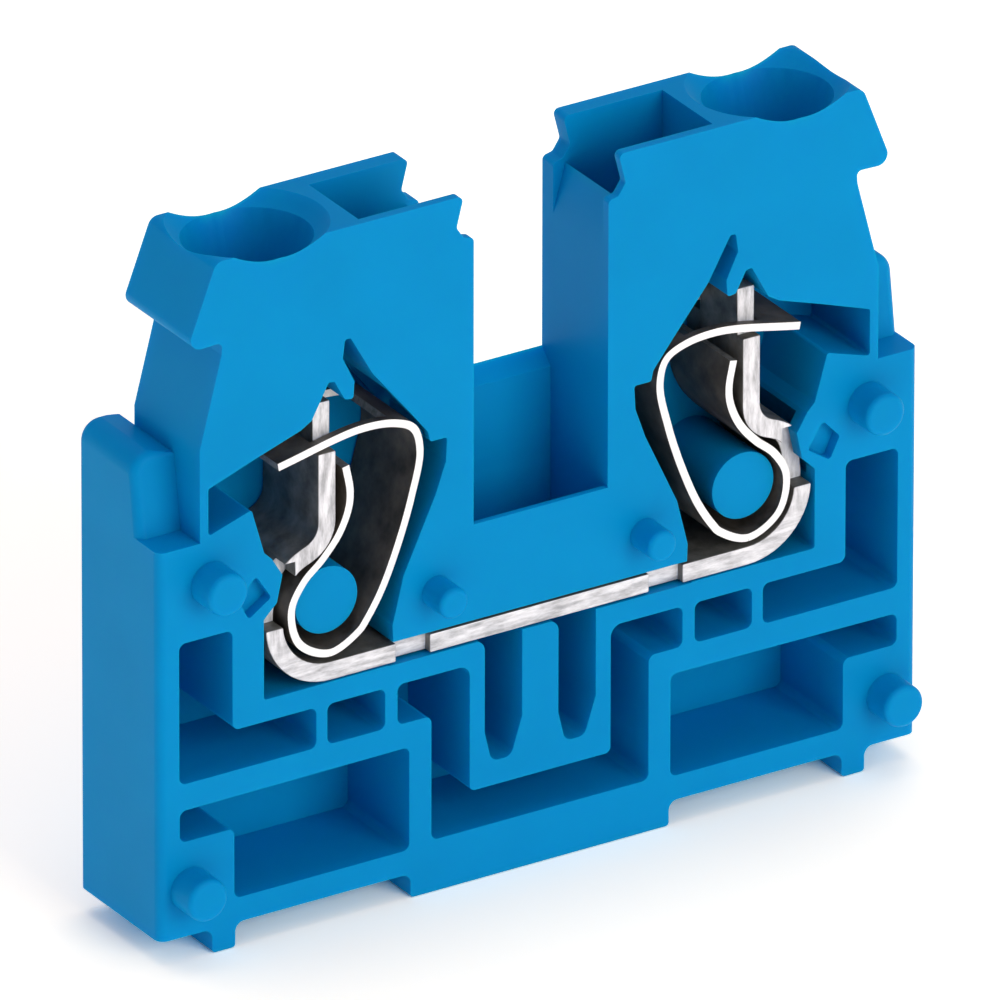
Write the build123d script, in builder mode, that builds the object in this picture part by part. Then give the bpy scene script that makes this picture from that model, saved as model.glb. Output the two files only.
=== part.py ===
from build123d import *
import math
import os

os.makedirs("parts", exist_ok=True)

# Two-conductor spring-clamp feed-through terminal block, open on its -Y face.
# Millimetres. X runs along the block, Y is its thickness, Z is up, z = 0 under the base pad.
# Every outline below gives the +X half as (x, z); the -X half is its mirror image.

half_length = 17.5
front_y = -3.0
back_y = 3.0
thickness = back_y - front_y
top_z = 29.8
base_z = 1.05

# base pad and feet
pad_half = 5.97
foot_inner = 14.03
foot_outer = 15.08

# shoulders beside the towers
shoulder_z = 21.3
shoulder_step_z = 17.9
shoulder_setback_low = 1.45
shoulder_setback_high = 2.0
shoulder_crown_x = 16.6
shoulder_dip = 0.25

# towers and the gap between them
tower_outer = 15.6
tower_inner = 3.09
gap_floor_z = 15.5
gap_front_wall_t = 0.25
well_floor_z = 13.2
tower_back_y = 1.85
rear_wall_front_y = 1.2
rear_wall_top_z = 19.7

# moulded pockets
pocket_depth = 4.57
clamp_depth = 4.25
lip_t = 0.65

# conductor funnel, screwdriver slot, jumper slots
entry_x = 11.95
entry_y = -0.57
entry_mouth_r = 3.05
entry_bowl_r = 2.42
entry_spread = 0.25
entry_bore_r = 1.7
bore_floor_z = 21.0
driver_y0 = -2.6
driver_y1 = 1.05
slot_mid_x = 1.7
jumper_x0 = 0.83
jumper_x1 = 2.56
jumper_y0 = -2.0
jumper_y1 = 0.9

# coding pegs on the front, matching sockets in the back
big_peg_r = 0.9
small_peg_r = 0.66
peg_length = 1.4
socket_depth = 1.5
socket_play = 0.05
lower_peg = (16.08, 3.1)
upper_peg = (15.12, 16.1)
small_peg = (4.8, 13.05)

# spring post
post_x = 9.6
post_z = 13.76
post_r = 1.42
post_setback = 0.4

# current bar stamping
bar_t = 0.8
bar_mid_z = 10.82
bar_flat_half = 9.62
curl_r = 2.55
crown_r = 1.9
bend_r = 1.31
tongue_top_z = 22.3
tongue_step_z = 20.3
bar_y0 = -2.95
bar_y1 = 1.2
middle_neck_y0 = -2.6
outer_neck_y0 = -2.2
tongue_y0 = -2.5
tongue_y1 = 0.25

# clamp spring strip
strip_t = 0.32
strip_y0 = -2.95
strip_y1 = 1.15
window_y0 = -2.6
window_y1 = 0.45
window_x0 = 6.85
window_x1 = 10.35

# ---------------------------------------------------------------- housing outline
body_outline = [
    (0, 0),
    (pad_half, 0),
    (pad_half, base_z),
    (foot_inner, base_z),
    (foot_inner, 0),
    (foot_outer, 0),
    (foot_outer, base_z),
    (half_length, base_z),
    (half_length, shoulder_z),
    (shoulder_crown_x, shoulder_z),
    (tower_outer, shoulder_z - shoulder_dip),
    (tower_outer, gap_floor_z),
    (0, gap_floor_z),
]
tower_outline = [
    (tower_inner, gap_floor_z - 1.0),
    (tower_outer, gap_floor_z - 1.0),
    (tower_outer, 21.9),
    (14.6, 25.75),
    (14.56, 26.3),
    (16.2, 26.25),
    (14.83, top_z),
    (3.55, top_z),
    (3.88, 28.5),
    (3.55, 28.0),
    (tower_inner, 27.9),
]

# pockets open to the front: (outline, corner radius)
foot_pocket = [(14.13, 13.79), (16.57, 13.79), (16.57, 7.68), (10.3, 7.68), (10.3, 9.44), (14.13, 9.44)]
small_pocket = [(7.14, 7.68), (9.8, 7.68), (9.8, 9.44), (7.14, 9.44)]
lower_pocket = [
    (6.03, 2.11),
    (14.07, 2.11),
    (14.07, 5.17),
    (16.56, 5.17),
    (16.56, 6.54),
    (6.03, 6.6),
]
centre_pocket = [
    (0, 2.25),
    (5.02, 2.25),
    (5.02, 7.68),
    (6.58, 7.68),
    (6.58, 9.44),
    (0, 9.44),
]
clamp_pocket = [
    (6.8, 12.1),
    (6.74, 10.38),
    (12.7, 10.38),
    (12.7, 13.85),
    (12.1, 14.45),
    (11.85, 15.6),
    (12.33, 16.4),
    (12.68, 16.75),
    (13.25, 18.75),
    (15.22, 18.12),
    (15.22, 20.15),
    (12.95, 20.95),
    (11.0, 21.6),
    (10.5, 21.9),
    (9.72, 23.35),
    (9.45, 23.3),
    (8.98, 22.42),
    (8.6, 22.36),
    (8.55, 23.1),
    (9.08, 24.2),
    (8.98, 25.0),
    (8.72, 25.0),
    (7.7, 23.2),
    (6.0, 21.1),
    (5.18, 20.05),
    (5.08, 19.6),
    (4.3, 19.6),
    (4.36, 18.57),
    (4.82, 17.27),
    (6.3, 14.1),
]

with BuildPart() as housing:
    with BuildSketch(Plane.XZ.offset(-back_y)):
        with BuildLine():
            Polyline(*body_outline, close=True)
        make_face()
        mirror(about=Plane.YZ)
    extrude(amount=thickness)
    # crowns of the shoulders, roots of the pad and feet
    end_edges = housing.edges().filter_by(Axis.Y)
    fillet(end_edges.filter_by(lambda e: abs(e.center().X) > 17.0 and e.center().Z > 20), radius=0.85)
    root_edges = housing.edges().filter_by(Axis.Y)
    fillet(root_edges.filter_by(lambda e: abs(e.center().Z - base_z) < 0.01 and abs(e.center().X) < 17.0), radius=0.4)
    foot_edges = housing.edges().filter_by(Axis.Y)
    fillet(foot_edges.filter_by(lambda e: abs(e.center().Z) < 0.01), radius=0.15)
    # towers, thinner than the base: their backs stand in from the back face
    with BuildSketch(Plane.XZ.offset(-tower_back_y)):
        with BuildLine():
            Polyline(*tower_outline, close=True)
        make_face()
        mirror(about=Plane.YZ)
    extrude(amount=tower_back_y - front_y)
    tower_edges = housing.edges().filter_by(Axis.Y).filter_by(lambda e: e.center().Z > 24)
    fillet(tower_edges.filter_by(lambda e: abs(e.center().X) > 14.7), radius=0.45)
    tower_edges = housing.edges().filter_by(Axis.Y).filter_by(lambda e: e.center().Z > 24)
    fillet(tower_edges.filter_by(lambda e: abs(e.center().X) < 14.7), radius=0.22)
    # shoulders stand back from the front face, further at the top
    for plane, reach in ((Plane.YZ.offset(tower_outer), 3.0), (Plane.YZ.offset(-tower_outer), -3.0)):
        with BuildSketch(plane):
            with BuildLine():
                Polyline(
                    (front_y - 0.1, shoulder_step_z),
                    (front_y + shoulder_setback_low, shoulder_step_z),
                    (front_y + shoulder_setback_high, shoulder_z + 0.3),
                    (front_y - 0.1, shoulder_z + 0.3),
                    close=True,
                )
            make_face()
        extrude(amount=reach, mode=Mode.SUBTRACT)
    # low rear wall across the gap, its top sloped to the front
    with BuildSketch(Plane.YZ):
        with BuildLine():
            Polyline(
                (rear_wall_front_y, gap_floor_z - 1.0),
                (tower_back_y, gap_floor_z - 1.0),
                (tower_back_y, rear_wall_top_z),
                (rear_wall_front_y, rear_wall_top_z - 0.65),
                close=True,
            )
        make_face()
    extrude(amount=tower_inner + 0.5, both=True)
    # rounded front corners of the two ends
    end_rims = housing.edges().filter_by(lambda e: abs(abs(e.center().X) - half_length) < 0.01)
    fillet(end_rims.filter_by(lambda e: e.bounding_box().size.Z > 2.0), radius=0.4)

    # plain pockets
    for outline in (foot_pocket, small_pocket, lower_pocket, centre_pocket):
        with BuildSketch(Plane.XZ.offset(-front_y)) as pocket:
            with BuildLine():
                Polyline(*outline, close=True)
            make_face()
            fillet(pocket.vertices().filter_by(lambda v: v.X > 0.1), radius=0.3)
            mirror(about=Plane.YZ)
        extrude(amount=-pocket_depth, mode=Mode.SUBTRACT)
    # pocket for the clamp, the loop of the spring and the bar end
    with BuildSketch(Plane.XZ.offset(-front_y)) as pocket:
        with BuildLine():
            Polyline(*clamp_pocket, close=True)
        make_face()
        fillet(pocket.vertices(), radius=0.12)
        mirror(about=Plane.YZ)
    extrude(amount=-clamp_depth, mode=Mode.SUBTRACT)
    # the bar passes behind a thin lip of the front wall at its outer necks
    with BuildSketch(Plane.XZ.offset(-front_y - lip_t)):
        with BuildLine():
            Polyline(
                (11.1, 13.4),
                (12.9, 13.4),
                (12.95, 14.7),
                (12.55, 15.9),
                (11.75, 16.7),
                (11.1, 16.7),
                close=True,
            )
        make_face()
        mirror(about=Plane.YZ)
    extrude(amount=-(clamp_depth - lip_t), mode=Mode.SUBTRACT)
    # shallow recess beside each spring
    with BuildSketch(Plane.XZ.offset(-front_y)) as recess:
        with BuildLine():
            Polyline((12.35, 14.75), (13.4, 14.05), (13.85, 15.0), (13.05, 15.85), close=True)
        make_face()
        fillet(recess.vertices(), radius=0.15)
        mirror(about=Plane.YZ)
    extrude(amount=-0.5, mode=Mode.SUBTRACT)
    # channel of the bar through the middle
    with BuildSketch(Plane.XZ.offset(-front_y)):
        with Locations((0, 10.85)):
            Rectangle(2 * 7.0, 1.0)
    extrude(amount=-clamp_depth, mode=Mode.SUBTRACT)

    # block under the middle of the bar: a centre rib between two tapering slots
    with BuildSketch(Plane.XZ.offset(-front_y)) as block:
        with Locations((0, 0.5 * (3.93 + 10.35))):
            Rectangle(6.5, 10.35 - 3.93)
        fillet(block.vertices().group_by(Axis.Y)[0], radius=0.25)
    extrude(amount=-(pocket_depth + 0.2))
    with BuildSketch(Plane.XZ.offset(-front_y)):
        for slot_x in (-slot_mid_x, slot_mid_x):
            with BuildSketch(mode=Mode.PRIVATE) as slot:
                with BuildLine():
                    Polyline((0.865, 10.5), (0.865, 6.6), (0.35, 4.98), (-0.55, 4.98), (-0.865, 6.3), (-0.865, 9.9))
                    ThreePointArc((-0.865, 9.9), (-1.0, 10.22), (-1.3, 10.36))
                    Polyline((-1.3, 10.36), (-1.3, 10.5), (0.865, 10.5))
                make_face()
                fillet(slot.vertices().group_by(Axis.Y)[0], radius=0.4)
            add(slot.sketch.moved(Location((slot_x, 0))))
    extrude(amount=-(pocket_depth + 0.2), mode=Mode.SUBTRACT)
    block_corners = housing.edges().filter_by(Axis.Y).filter_by(lambda e: abs(abs(e.center().X) - 3.25) < 0.01)
    fillet(block_corners.filter_by(lambda e: abs(e.center().Z - 9.44) < 0.02), radius=0.5)

    # spring posts
    with BuildSketch(Plane.XZ.offset(-front_y - post_setback)):
        with Locations((post_x, post_z), (-post_x, post_z)):
            Circle(post_r)
    extrude(amount=-(pocket_depth - post_setback))

    # conductor funnels and bores from the tower tops
    for side in (1, -1):
        for shift in (-entry_spread, entry_spread):
            with Locations((side * entry_x + shift, entry_y, top_z - 0.55)):
                Cone(
                    entry_bowl_r,
                    entry_mouth_r,
                    0.56,
                    align=(Align.CENTER, Align.CENTER, Align.MIN),
                    mode=Mode.SUBTRACT,
                )
        with Locations(*[(side * entry_x + shift, entry_y, top_z - 3.5) for shift in (-entry_spread, entry_spread)]):
            Cone(
                entry_bore_r,
                entry_bowl_r,
                3.0,
                align=(Align.CENTER, Align.CENTER, Align.MIN),
                mode=Mode.SUBTRACT,
            )
        with Locations((side * entry_x, entry_y, bore_floor_z)):
            Cylinder(
                entry_bore_r,
                top_z - 3.4 - bore_floor_z,
                align=(Align.CENTER, Align.CENTER, Align.MIN),
                mode=Mode.SUBTRACT,
            )
        # relief under the bore, into the clamp pocket
        with Locations((side * entry_x, entry_y, bore_floor_z - 1.1)):
            Cylinder(
                entry_bore_r + 0.2,
                1.1,
                align=(Align.CENTER, Align.CENTER, Align.MIN),
                mode=Mode.SUBTRACT,
            )
    # screwdriver slots, open toward the gap above the sloped end wall
    with BuildSketch(Plane.XZ.offset(-driver_y1)):
        with BuildLine():
            Polyline(
                (tower_inner - 0.1, 25.4),
                (3.65, 27.8),
                (4.36, 19.4),
                (6.39, 20.3),
                (8.12, 27.0),
                (8.12, top_z + 0.1),
                (tower_inner - 0.1, top_z + 0.1),
                close=True,
            )
        make_face()
        mirror(about=Plane.YZ)
    extrude(amount=driver_y1 - driver_y0, mode=Mode.SUBTRACT)
    # deep well in the gap behind a thin front wall
    with BuildSketch(Plane.XZ.offset(-front_y - gap_front_wall_t)):
        with Locations((0, 0.5 * (well_floor_z + gap_floor_z + 0.5))):
            Rectangle(2 * tower_inner, gap_floor_z + 0.5 - well_floor_z)
    extrude(amount=-(rear_wall_front_y - front_y - gap_front_wall_t), mode=Mode.SUBTRACT)
    # jumper slots from the floor of the well to the bar
    for side in (1, -1):
        with Locations((side * 0.5 * (jumper_x0 + jumper_x1), 0.5 * (jumper_y0 + jumper_y1), 10.9)):
            Box(
                jumper_x1 - jumper_x0,
                jumper_y1 - jumper_y0,
                gap_floor_z - 10.8,
                align=(Align.CENTER, Align.CENTER, Align.MIN),
                mode=Mode.SUBTRACT,
            )

    # coding pegs, and the sockets that take the next block's pegs
    big_spots = [(s * p[0], p[1]) for s in (1, -1) for p in (lower_peg, upper_peg)]
    small_spots = [(s * small_peg[0], small_peg[1]) for s in (1, -1)]
    for spots, radius in ((big_spots, big_peg_r), (small_spots, small_peg_r)):
        with BuildSketch(Plane.XZ.offset(-front_y - 0.5)):
            with Locations(*spots):
                Circle(radius)
        extrude(amount=peg_length + 0.5)
        with BuildSketch(Plane.XZ.offset(-back_y)):
            with Locations(*spots):
                Circle(radius + socket_play)
        extrude(amount=socket_depth, mode=Mode.SUBTRACT)
    peg_rims = housing.edges().filter_by(GeomType.CIRCLE).group_by(Axis.Y)[0]
    fillet(peg_rims, radius=0.22)
housing.part.label = "housing"
export_step(housing.part, "parts/housing.step")

# ---------------------------------------------------------------- current bar
with BuildPart() as current_bar:
    with BuildSketch(Plane.XZ.offset(-bar_y1)):
        with BuildLine():
            flat = Line((0, bar_mid_z), (bar_flat_half, bar_mid_z))
            curl = JernArc(flat @ 1, flat % 1, curl_r, 98)
            rise = Line(curl @ 1, curl @ 1 + (curl % 1) * 0.8)
            crown = JernArc(rise @ 1, rise % 1, crown_r, 60)
            slope = Line(crown @ 1, crown @ 1 + (crown % 1) * 0.3)
            bend = JernArc(slope @ 1, slope % 1, bend_r, -68)
            Line(bend @ 1, ((bend @ 1).X, tongue_top_z))
        trace(line_width=bar_t)
        mirror(about=Plane.YZ)
    extrude(amount=bar_y1 - bar_y0)
    # necks: the front edge stands back where the housing ribs cross
    for neck_x, neck_z, size_x, size_z, neck_y0 in (
        (5.83, bar_mid_z, 1.55, 2.0, middle_neck_y0),
        (12.17, 14.6, 1.9, 2.7, outer_neck_y0),
    ):
        with BuildSketch(Plane.XZ.offset(-bar_y0)):
            with Locations((neck_x, neck_z), (-neck_x, neck_z)):
                Rectangle(size_x, size_z)
        extrude(amount=-(neck_y0 - bar_y0), mode=Mode.SUBTRACT)
    # tongues that reach up through the spring windows
    for side in (1, -1):
        for y0, y1 in ((bar_y0, tongue_y0), (tongue_y1, bar_y1)):
            with Locations((side * 9.8, 0.5 * (y0 + y1), tongue_step_z)):
                Box(2.0, y1 - y0, 4.0, align=(Align.CENTER, Align.CENTER, Align.MIN), mode=Mode.SUBTRACT)
    # holes for the jumper legs
    for side in (1, -1):
        with Locations((side * 0.5 * (jumper_x0 + jumper_x1), 0.5 * (jumper_y0 + jumper_y1), bar_mid_z)):
            Box(jumper_x1 - jumper_x0, jumper_y1 - jumper_y0, 2.0, mode=Mode.SUBTRACT)
current_bar.part.label = "current_bar"
export_step(current_bar.part, "parts/current_bar.step")

# ---------------------------------------------------------------- clamp springs
loop_path = [(8.3, 12.23), (9.65, 11.62), (11.05, 12.37), (11.4, 13.9), (10.84, 14.98), (9.98, 15.75)]
leg_path = [(9.22, 16.66), (8.79, 17.65), (8.72, 18.4), (8.92, 19.5)]
arm_leg = [(8.0, 12.58), (7.3, 13.7), (6.53, 15.5), (5.9, 17.45), (5.52, 19.3)]
arm_top = [(6.58, 20.76), (8.25, 20.93), (12.0, 20.24)]

for name, side in (("right", 1), ("left", -1)):
    with BuildPart() as spring:
        with BuildSketch(Plane.XZ.offset(-strip_y1)):
            with BuildLine():
                Spline(*[(side * x, z) for x, z in loop_path + leg_path])
            trace(line_width=strip_t)
        extrude(amount=strip_y1 - strip_y0)
    spring.part.label = "spring_" + name
    export_step(spring.part, "parts/spring_" + name + ".step")

    with BuildPart() as arm:
        with BuildSketch(Plane.XZ.offset(-strip_y1)):
            with BuildLine():
                lower = Spline(*[(side * x, z) for x, z in arm_leg])
                upper = Spline(*[(side * x, z) for x, z in arm_top])
                bend = ThreePointArc(lower @ 1, (side * 5.8, 20.33), upper @ 0)
            trace(line_width=strip_t)
        extrude(amount=strip_y1 - strip_y0)
        # window the conductor and the bar tongue pass through
        with Locations((side * 0.5 * (window_x0 + window_x1), 0.5 * (window_y0 + window_y1), 20.6)):
            Box(window_x1 - window_x0, window_y1 - window_y0, 1.6, mode=Mode.SUBTRACT)
    arm.part.label = "clamp_arm_" + name
    export_step(arm.part, "parts/clamp_arm_" + name + ".step")
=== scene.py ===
import math

import bmesh
import bpy
from mathutils import Matrix, Vector


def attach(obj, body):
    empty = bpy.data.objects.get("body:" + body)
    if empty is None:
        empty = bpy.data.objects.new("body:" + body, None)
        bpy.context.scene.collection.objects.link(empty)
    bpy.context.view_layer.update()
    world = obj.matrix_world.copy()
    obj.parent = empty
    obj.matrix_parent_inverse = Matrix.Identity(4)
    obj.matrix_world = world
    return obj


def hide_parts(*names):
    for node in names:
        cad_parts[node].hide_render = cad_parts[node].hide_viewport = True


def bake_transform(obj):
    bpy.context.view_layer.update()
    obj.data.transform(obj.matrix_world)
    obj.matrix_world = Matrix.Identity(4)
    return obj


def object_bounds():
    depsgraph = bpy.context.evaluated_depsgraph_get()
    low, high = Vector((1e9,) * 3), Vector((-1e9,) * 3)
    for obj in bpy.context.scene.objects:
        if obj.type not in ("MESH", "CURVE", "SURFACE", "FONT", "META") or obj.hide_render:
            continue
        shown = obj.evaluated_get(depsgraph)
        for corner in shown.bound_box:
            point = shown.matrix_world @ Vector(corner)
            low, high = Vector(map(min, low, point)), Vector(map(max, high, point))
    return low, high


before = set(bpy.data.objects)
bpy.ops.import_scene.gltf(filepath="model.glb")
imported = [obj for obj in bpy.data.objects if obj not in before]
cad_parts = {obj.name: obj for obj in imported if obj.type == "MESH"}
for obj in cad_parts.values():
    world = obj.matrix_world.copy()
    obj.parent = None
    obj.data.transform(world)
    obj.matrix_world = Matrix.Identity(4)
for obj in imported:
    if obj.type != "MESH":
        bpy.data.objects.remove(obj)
cad_lo, cad_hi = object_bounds()
MM = 0.001
FRONT = -3.0 * MM
SHARP_ANGLE = math.radians(22)

scene = bpy.context.scene
scene.view_settings.view_transform = "Standard"
scene.view_settings.look = "None"


# ------------------------------------------------------------------ node helpers
def material(name):
    m = bpy.data.materials.new(name)
    m.use_nodes = True
    return m, m.node_tree, m.node_tree.nodes["Principled BSDF"]


def noise(tree, coords, scale, detail=3.0, rough=0.5, stretch=(1, 1, 1)):
    mapping = tree.nodes.new("ShaderNodeMapping")
    mapping.inputs["Scale"].default_value = stretch
    tree.links.new(coords, mapping.inputs["Vector"])
    n = tree.nodes.new("ShaderNodeTexNoise")
    n.inputs["Scale"].default_value = scale
    n.inputs["Detail"].default_value = detail
    n.inputs["Roughness"].default_value = rough
    tree.links.new(mapping.outputs["Vector"], n.inputs["Vector"])
    return n.outputs["Fac"]


def ramp(tree, fac, stops):
    r = tree.nodes.new("ShaderNodeValToRGB")
    el = r.color_ramp.elements
    while len(el) < len(stops):
        el.new(0.5)
    for e, (pos, col) in zip(el, stops):
        e.position = pos
        e.color = (*col, 1)
    tree.links.new(fac, r.inputs["Fac"])
    return r.outputs["Color"]


def scaled(tree, fac, lo, hi):
    r = tree.nodes.new("ShaderNodeMapRange")
    r.inputs["To Min"].default_value = lo
    r.inputs["To Max"].default_value = hi
    tree.links.new(fac, r.inputs["Value"])
    return r.outputs["Result"]


def bump(tree, height, strength, distance, normal=None):
    b = tree.nodes.new("ShaderNodeBump")
    b.inputs["Strength"].default_value = strength
    b.inputs["Distance"].default_value = distance
    tree.links.new(height, b.inputs["Height"])
    if normal is not None:
        tree.links.new(normal, b.inputs["Normal"])
    return b.outputs["Normal"]


def mix(tree, fac, a, b, kind="RGBA"):
    n = tree.nodes.new("ShaderNodeMix")
    n.data_type = kind
    wanted = "RGBA" if kind == "RGBA" else "VALUE"
    first, second = [s for s in n.inputs if s.type == wanted][-2:]
    tree.links.new(fac, n.inputs["Factor"])
    tree.links.new(a, first)
    tree.links.new(b, second)
    return [s for s in n.outputs if s.type == wanted][0]


def y_facing_highlight(tree):
    """1 on faces square to Y (the sheared edges of the metal, which face the camera and the front lamp),
    0 elsewhere; it marks where a painted highlight goes.
    """
    split = tree.nodes.new("ShaderNodeSeparateXYZ")
    tree.links.new(tree.nodes.new("ShaderNodeNewGeometry").outputs["Normal"], split.inputs["Vector"])
    amount = tree.nodes.new("ShaderNodeMath")
    amount.operation = "ABSOLUTE"
    tree.links.new(split.outputs["Y"], amount.inputs[0])
    cut = tree.nodes.new("ShaderNodeMapRange")
    cut.inputs["From Min"].default_value = 0.55
    cut.inputs["From Max"].default_value = 0.8
    tree.links.new(amount.outputs[0], cut.inputs["Value"])
    return cut.outputs["Result"]


# ------------------------------------------------------------------ blue moulded polyamide
blue, t, bsdf = material("blue_polyamide")
coords = t.nodes.new("ShaderNodeTexCoord").outputs["Object"]
cloud = noise(t, coords, 260, 2.0, 0.45)
grain = noise(t, coords, 9000, 2.0, 0.6)
flow = noise(t, coords, 900, 3.0, 0.5, (0.35, 1, 1))
blue_stops = [(0.3, (0.0, 0.240, 0.550)), (0.7, (0.0, 0.256, 0.580))]
t.links.new(ramp(t, cloud, blue_stops), bsdf.inputs["Base Color"])
t.links.new(scaled(t, flow, 0.42, 0.52), bsdf.inputs["Roughness"])
rough_skin = bump(t, grain, 0.10, 0.00002)
t.links.new(bump(t, flow, 0.05, 0.0001, rough_skin), bsdf.inputs["Normal"])
bsdf.inputs["IOR"].default_value = 1.5
bsdf.inputs["Specular IOR Level"].default_value = 0.04
bsdf.inputs["Subsurface Weight"].default_value = 0.3
bsdf.inputs["Subsurface Radius"].default_value = (0.1, 0.45, 1.0)
bsdf.inputs["Subsurface Scale"].default_value = 0.001

# ------------------------------------------------------------------ tinned current bar
tin, t, bsdf = material("tinned_copper")
coords = t.nodes.new("ShaderNodeTexCoord").outputs["Object"]
# faces square to Y face the camera and the front lamp: they get a painted highlight, the other faces
# painted shade
cut = y_facing_highlight(t)
# streaks run along the flat of the bar and turn upward on the tongues
along = noise(t, coords, 3000, 4.0, 0.65, (0.22, 1, 1))
upward = noise(t, coords, 3000, 4.0, 0.65, (1, 1, 0.22))
height = t.nodes.new("ShaderNodeSeparateXYZ")
t.links.new(coords, height.inputs["Vector"])
level = t.nodes.new("ShaderNodeMapRange")
level.inputs["From Min"].default_value = 11.5 * MM
level.inputs["From Max"].default_value = 13.0 * MM
t.links.new(height.outputs["Z"], level.inputs["Value"])
streak = mix(t, level.outputs["Result"], along, upward, "FLOAT")
blotch = noise(t, coords, 1100, 4.0, 0.6)
# bright colour of the faces square to Y: the tin's own streaks with a painted highlight
highlight_edge_stops = [(0.34, (0.36, 0.37, 0.41)), (0.5, (0.62, 0.63, 0.69)), (0.64, (0.82, 0.83, 0.90))]
highlit_edge_col = ramp(t, streak, highlight_edge_stops)
# dark colour of the other faces: painted shade, with random blotches
shaded_face_col = ramp(t, blotch, [(0.3, (0.07, 0.068, 0.062)), (0.7, (0.22, 0.215, 0.20))])
t.links.new(mix(t, cut, shaded_face_col, highlit_edge_col), bsdf.inputs["Base Color"])
t.links.new(scaled(t, streak, 0.35, 0.6), bsdf.inputs["Roughness"])
t.links.new(bump(t, streak, 0.35, 0.00004), bsdf.inputs["Normal"])
bsdf.inputs["Metallic"].default_value = 0.25

# ------------------------------------------------------------------ spring strip: dark faces, darkened with painted shade
strip, t, bsdf = material("spring_face")
coords = t.nodes.new("ShaderNodeTexCoord").outputs["Object"]
face_mottle = noise(t, coords, 700, 4.0, 0.6)
fine = noise(t, coords, 4200, 3.0, 0.6, (1, 0.2, 1))
# dark colour of the strip faces: painted shade, varied at random
shaded_face_stops = [(0.35, (0.042, 0.035, 0.028)), (0.7, (0.150, 0.130, 0.110))]
t.links.new(ramp(t, face_mottle, shaded_face_stops), bsdf.inputs["Base Color"])
t.links.new(scaled(t, face_mottle, 0.42, 0.6), bsdf.inputs["Roughness"])
t.links.new(bump(t, fine, 0.12, 0.00002), bsdf.inputs["Normal"])
bsdf.inputs["Metallic"].default_value = 0.15

# ------------------------------------------------------------------ spring strip: cut edges, with a painted highlight where square to Y and painted shade elsewhere
rim, t, bsdf = material("spring_cut_edge")
coords = t.nodes.new("ShaderNodeTexCoord").outputs["Object"]
shear = noise(t, coords, 3200, 3.0, 0.6)
# cut edges square to Y get a painted highlight, the other cut edges painted shade
highlit_rim = ramp(t, shear, [(0.3, (0.80, 0.82, 0.88)), (0.7, (0.96, 0.97, 1.0))])
shaded_rim = ramp(t, shear, [(0.3, (0.10, 0.10, 0.10)), (0.7, (0.26, 0.26, 0.25))])
t.links.new(mix(t, y_facing_highlight(t), shaded_rim, highlit_rim), bsdf.inputs["Base Color"])
t.links.new(scaled(t, shear, 0.3, 0.5), bsdf.inputs["Roughness"])
t.links.new(bump(t, shear, 0.15, 0.00002), bsdf.inputs["Normal"])
bsdf.inputs["Metallic"].default_value = 0.1


def paint(obj, *mats):
    obj.data.materials.clear()
    for m in mats:
        obj.data.materials.append(m)


# ------------------------------------------------------------------ CAD nodes that are kept
shade = bpy.data.node_groups.new("smooth_shade", "GeometryNodeTree")
shade.interface.new_socket("Geometry", in_out="INPUT", socket_type="NodeSocketGeometry")
shade.interface.new_socket("Geometry", in_out="OUTPUT", socket_type="NodeSocketGeometry")
group_in = shade.nodes.new("NodeGroupInput")
set_smooth = shade.nodes.new("GeometryNodeSetShadeSmooth")
group_out = shade.nodes.new("NodeGroupOutput")
shade.links.new(group_in.outputs[0], set_smooth.inputs["Geometry"])
shade.links.new(set_smooth.outputs[0], group_out.inputs[0])


def soften(obj, width, segments=3):
    """Small radius on every sharp edge."""
    weld = obj.modifiers.new("weld", "WELD")
    weld.merge_threshold = 0.002 * MM
    flat = obj.modifiers.new("flat", "DECIMATE")
    flat.decimate_type = "DISSOLVE"
    flat.angle_limit = math.radians(0.6)
    b = obj.modifiers.new("round", "BEVEL")
    b.width = width
    b.segments = segments
    b.limit_method = "ANGLE"
    b.angle_limit = SHARP_ANGLE
    b.use_clamp_overlap = True
    n = obj.modifiers.new("smooth", "NODES")
    n.node_group = shade
    w = obj.modifiers.new("normals", "WEIGHTED_NORMAL")
    w.mode = "FACE_AREA"
    w.weight = 80
    w.keep_sharp = False


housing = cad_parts["housing"]
paint(housing, blue)
soften(housing, 0.15 * MM)
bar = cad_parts["current_bar"]
paint(bar, tin)
soften(bar, 0.07 * MM, 2)

# ------------------------------------------------------------------ springs, sizes in mm
STRIP_T = 0.32
# front edge, window sides and rear edge of the strip
STRIP_Y = (-2.95, -2.6, 0.45, 1.15)
WINDOW_X = (6.85, 10.35)
WINDOW_FROM_Z = 20.2
# (x, z) along the middle of the right strip; the left one is its mirror image
SEAM = (9.65, 11.62)
ROOT_PATH = [(8.92, 19.5), (8.72, 18.4), (8.79, 17.65), (9.22, 16.66), (9.98, 15.75)]
ROOT_PATH += [(10.84, 14.98), (11.4, 13.9), (11.05, 12.37), SEAM]
ARM_PATH = [(8.3, 12.23), (8.0, 12.58), (7.3, 13.7), (6.53, 15.5), (5.9, 17.45), (5.52, 19.3)]
ARM_PATH += [(5.8, 20.33), (6.58, 20.76), (8.25, 20.93), (12.0, 20.24)]
STEP = 0.09


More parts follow.
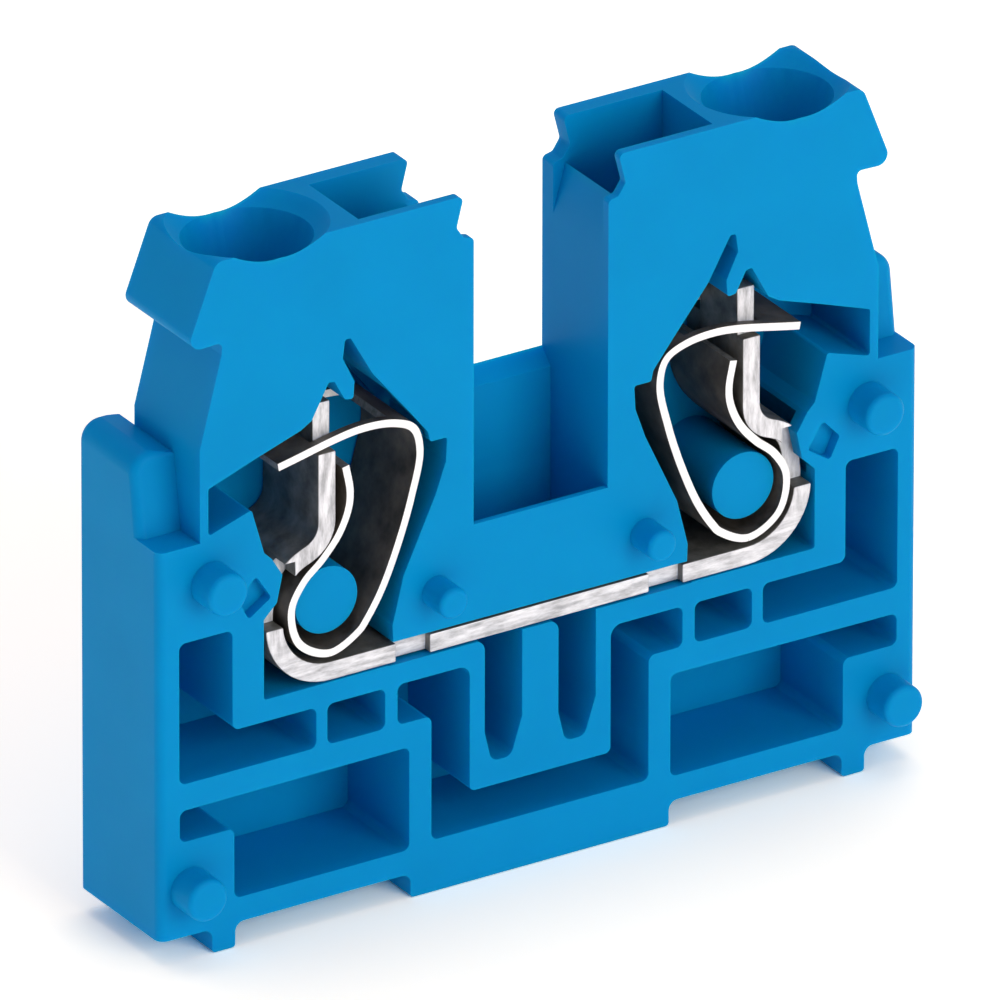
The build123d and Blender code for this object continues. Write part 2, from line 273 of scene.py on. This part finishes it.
def smooth_path(points):
    """Centripetal curve through the points, in short steps; also where each point falls."""
    pts = [Vector((x, z)) for x, z in points]
    ends = [pts[0] * 2 - pts[1]] + pts + [pts[-1] * 2 - pts[-2]]
    out, marks = [], []
    for i in range(1, len(ends) - 2):
        p0, p1, p2, p3 = ends[i - 1:i + 3]
        per = max(2, round((p2 - p1).length / STEP))
        k = [0.0]
        for a, b in ((p0, p1), (p1, p2), (p2, p3)):
            k.append(k[-1] + (b - a).length ** 0.5)
        marks.append(len(out))
        for j in range(per):
            u = k[1] + (k[2] - k[1]) * j / per
            a1 = p0 * ((k[1] - u) / (k[1] - k[0])) + p1 * ((u - k[0]) / (k[1] - k[0]))
            a2 = p1 * ((k[2] - u) / (k[2] - k[1])) + p2 * ((u - k[1]) / (k[2] - k[1]))
            a3 = p2 * ((k[3] - u) / (k[3] - k[2])) + p3 * ((u - k[2]) / (k[3] - k[2]))
            b1 = a1 * ((k[2] - u) / (k[2] - k[0])) + a2 * ((u - k[0]) / (k[2] - k[0]))
            b2 = a2 * ((k[3] - u) / (k[3] - k[1])) + a3 * ((u - k[1]) / (k[3] - k[1]))
            out.append(b1 * ((k[2] - u) / (k[2] - k[1])) + b2 * ((u - k[1]) / (k[2] - k[1])))
    return out + [pts[-1]], marks


def ribbon(name, path, side, window):
    """Bent strip of even thickness; faces are slot 0 and the cut edges slot 1."""
    bm = bmesh.new()
    rows = [[bm.verts.new((side * p.x * MM, y * MM, p.y * MM)) for y in STRIP_Y] for p in path]
    for i, (r0, r1) in enumerate(zip(rows, rows[1:])):
        mid = (path[i] + path[i + 1]) / 2
        for j in range(3):
            in_window = mid.y > WINDOW_FROM_Z and WINDOW_X[0] < mid.x < WINDOW_X[1]
            if window and j == 1 and in_window:
                continue
            bm.faces.new((r0[j], r0[j + 1], r1[j + 1], r1[j]))
    me = bpy.data.meshes.new(name)
    bm.to_mesh(me)
    bm.free()
    obj = bpy.data.objects.new(name, me)
    scene.collection.objects.link(obj)
    paint(obj, strip, rim)
    for p in me.polygons:
        p.use_smooth = True
    s = obj.modifiers.new("thick", "SOLIDIFY")
    s.thickness = STRIP_T * MM
    s.offset = 0
    s.use_even_offset = True
    s.material_offset_rim = 1
    e = obj.modifiers.new("edge", "EDGE_SPLIT")
    e.split_angle = math.radians(40)
    return obj


whole, marks = smooth_path(ROOT_PATH + ARM_PATH)
seam = marks[len(ROOT_PATH) - 1]
for word, side in (("right", 1), ("left", -1)):
    root = ribbon("spring_root_" + word, whole[:seam + 1], side, False)
    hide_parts("spring_" + word)
    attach(root, "block")
    arm = ribbon("spring_arm_" + word, whole[seam:], side, True)
    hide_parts("clamp_arm_" + word)
    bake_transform(arm)

# ------------------------------------------------------------------ floor, light, camera
floor_mesh = bpy.data.meshes.new("floor")
floor_mesh.from_pydata([(-3, -3, 0), (3, -3, 0), (3, 3, 0), (-3, 3, 0)], [], [(0, 1, 2, 3)])
floor = bpy.data.objects.new("floor", floor_mesh)
scene.collection.objects.link(floor)
# the colour is above 1 so that the stage stays near white under soft light
pale, t, bsdf = material("pale_floor")
bsdf.inputs["Base Color"].default_value = (1.85, 1.70, 1.48, 1)
bsdf.inputs["Roughness"].default_value = 0.8
bsdf.inputs["Specular IOR Level"].default_value = 0.2
paint(floor, pale)
floor.location = (0, 0, cad_lo.z - 0.02 * MM)

world = bpy.data.worlds.new("studio")
scene.world = world
world.use_nodes = True
world.node_tree.nodes["Background"].inputs["Color"].default_value = (0.94, 0.96, 1.1, 1)
world.node_tree.nodes["Background"].inputs["Strength"].default_value = 0.44


def area(name, at, aim, size, power):
    light = bpy.data.lights.new(name, "AREA")
    light.shape = "RECTANGLE"
    light.size, light.size_y = size
    light.energy = power
    o = bpy.data.objects.new(name, light)
    scene.collection.objects.link(o)
    o.location = at
    o.rotation_euler = (Vector(aim) - Vector(at)).to_track_quat("-Z", "Y").to_euler()
    return o


area("top", (0.03, 0.08, 0.42), (0, 0, 0.01), (0.35, 0.35), 0.4)
front = area("front", (0.12, -0.55, 0.22), (0, 0, 0.015), (0.35, 0.35), 1.62)
front.data.color = (1.0, 0.95, 0.80)

# nearly orthographic: a long lens from far away
AZ, EL, ROLL = math.radians(-32.132), math.radians(26.037), 0.00159
DISTANCE = 1.3873
back = Vector((math.sin(AZ) * math.cos(EL), -math.cos(AZ) * math.cos(EL), math.sin(EL)))
target = Vector((-1.876 * MM, FRONT, 16.25 * MM))
cam_data = bpy.data.cameras.new("camera")
cam = bpy.data.objects.new("camera", cam_data)
scene.collection.objects.link(cam)
cam.location = target + back * DISTANCE
cam.rotation_mode = "QUATERNION"
cam.rotation_quaternion = (-back).to_track_quat("-Z", "Y") @ Matrix.Rotation(ROLL, 3, "Z").to_quaternion()
cam_data.sensor_width = 36
cam_data.lens = 1281.8
cam_data.clip_start, cam_data.clip_end = 0.05, 20
scene.camera = cam
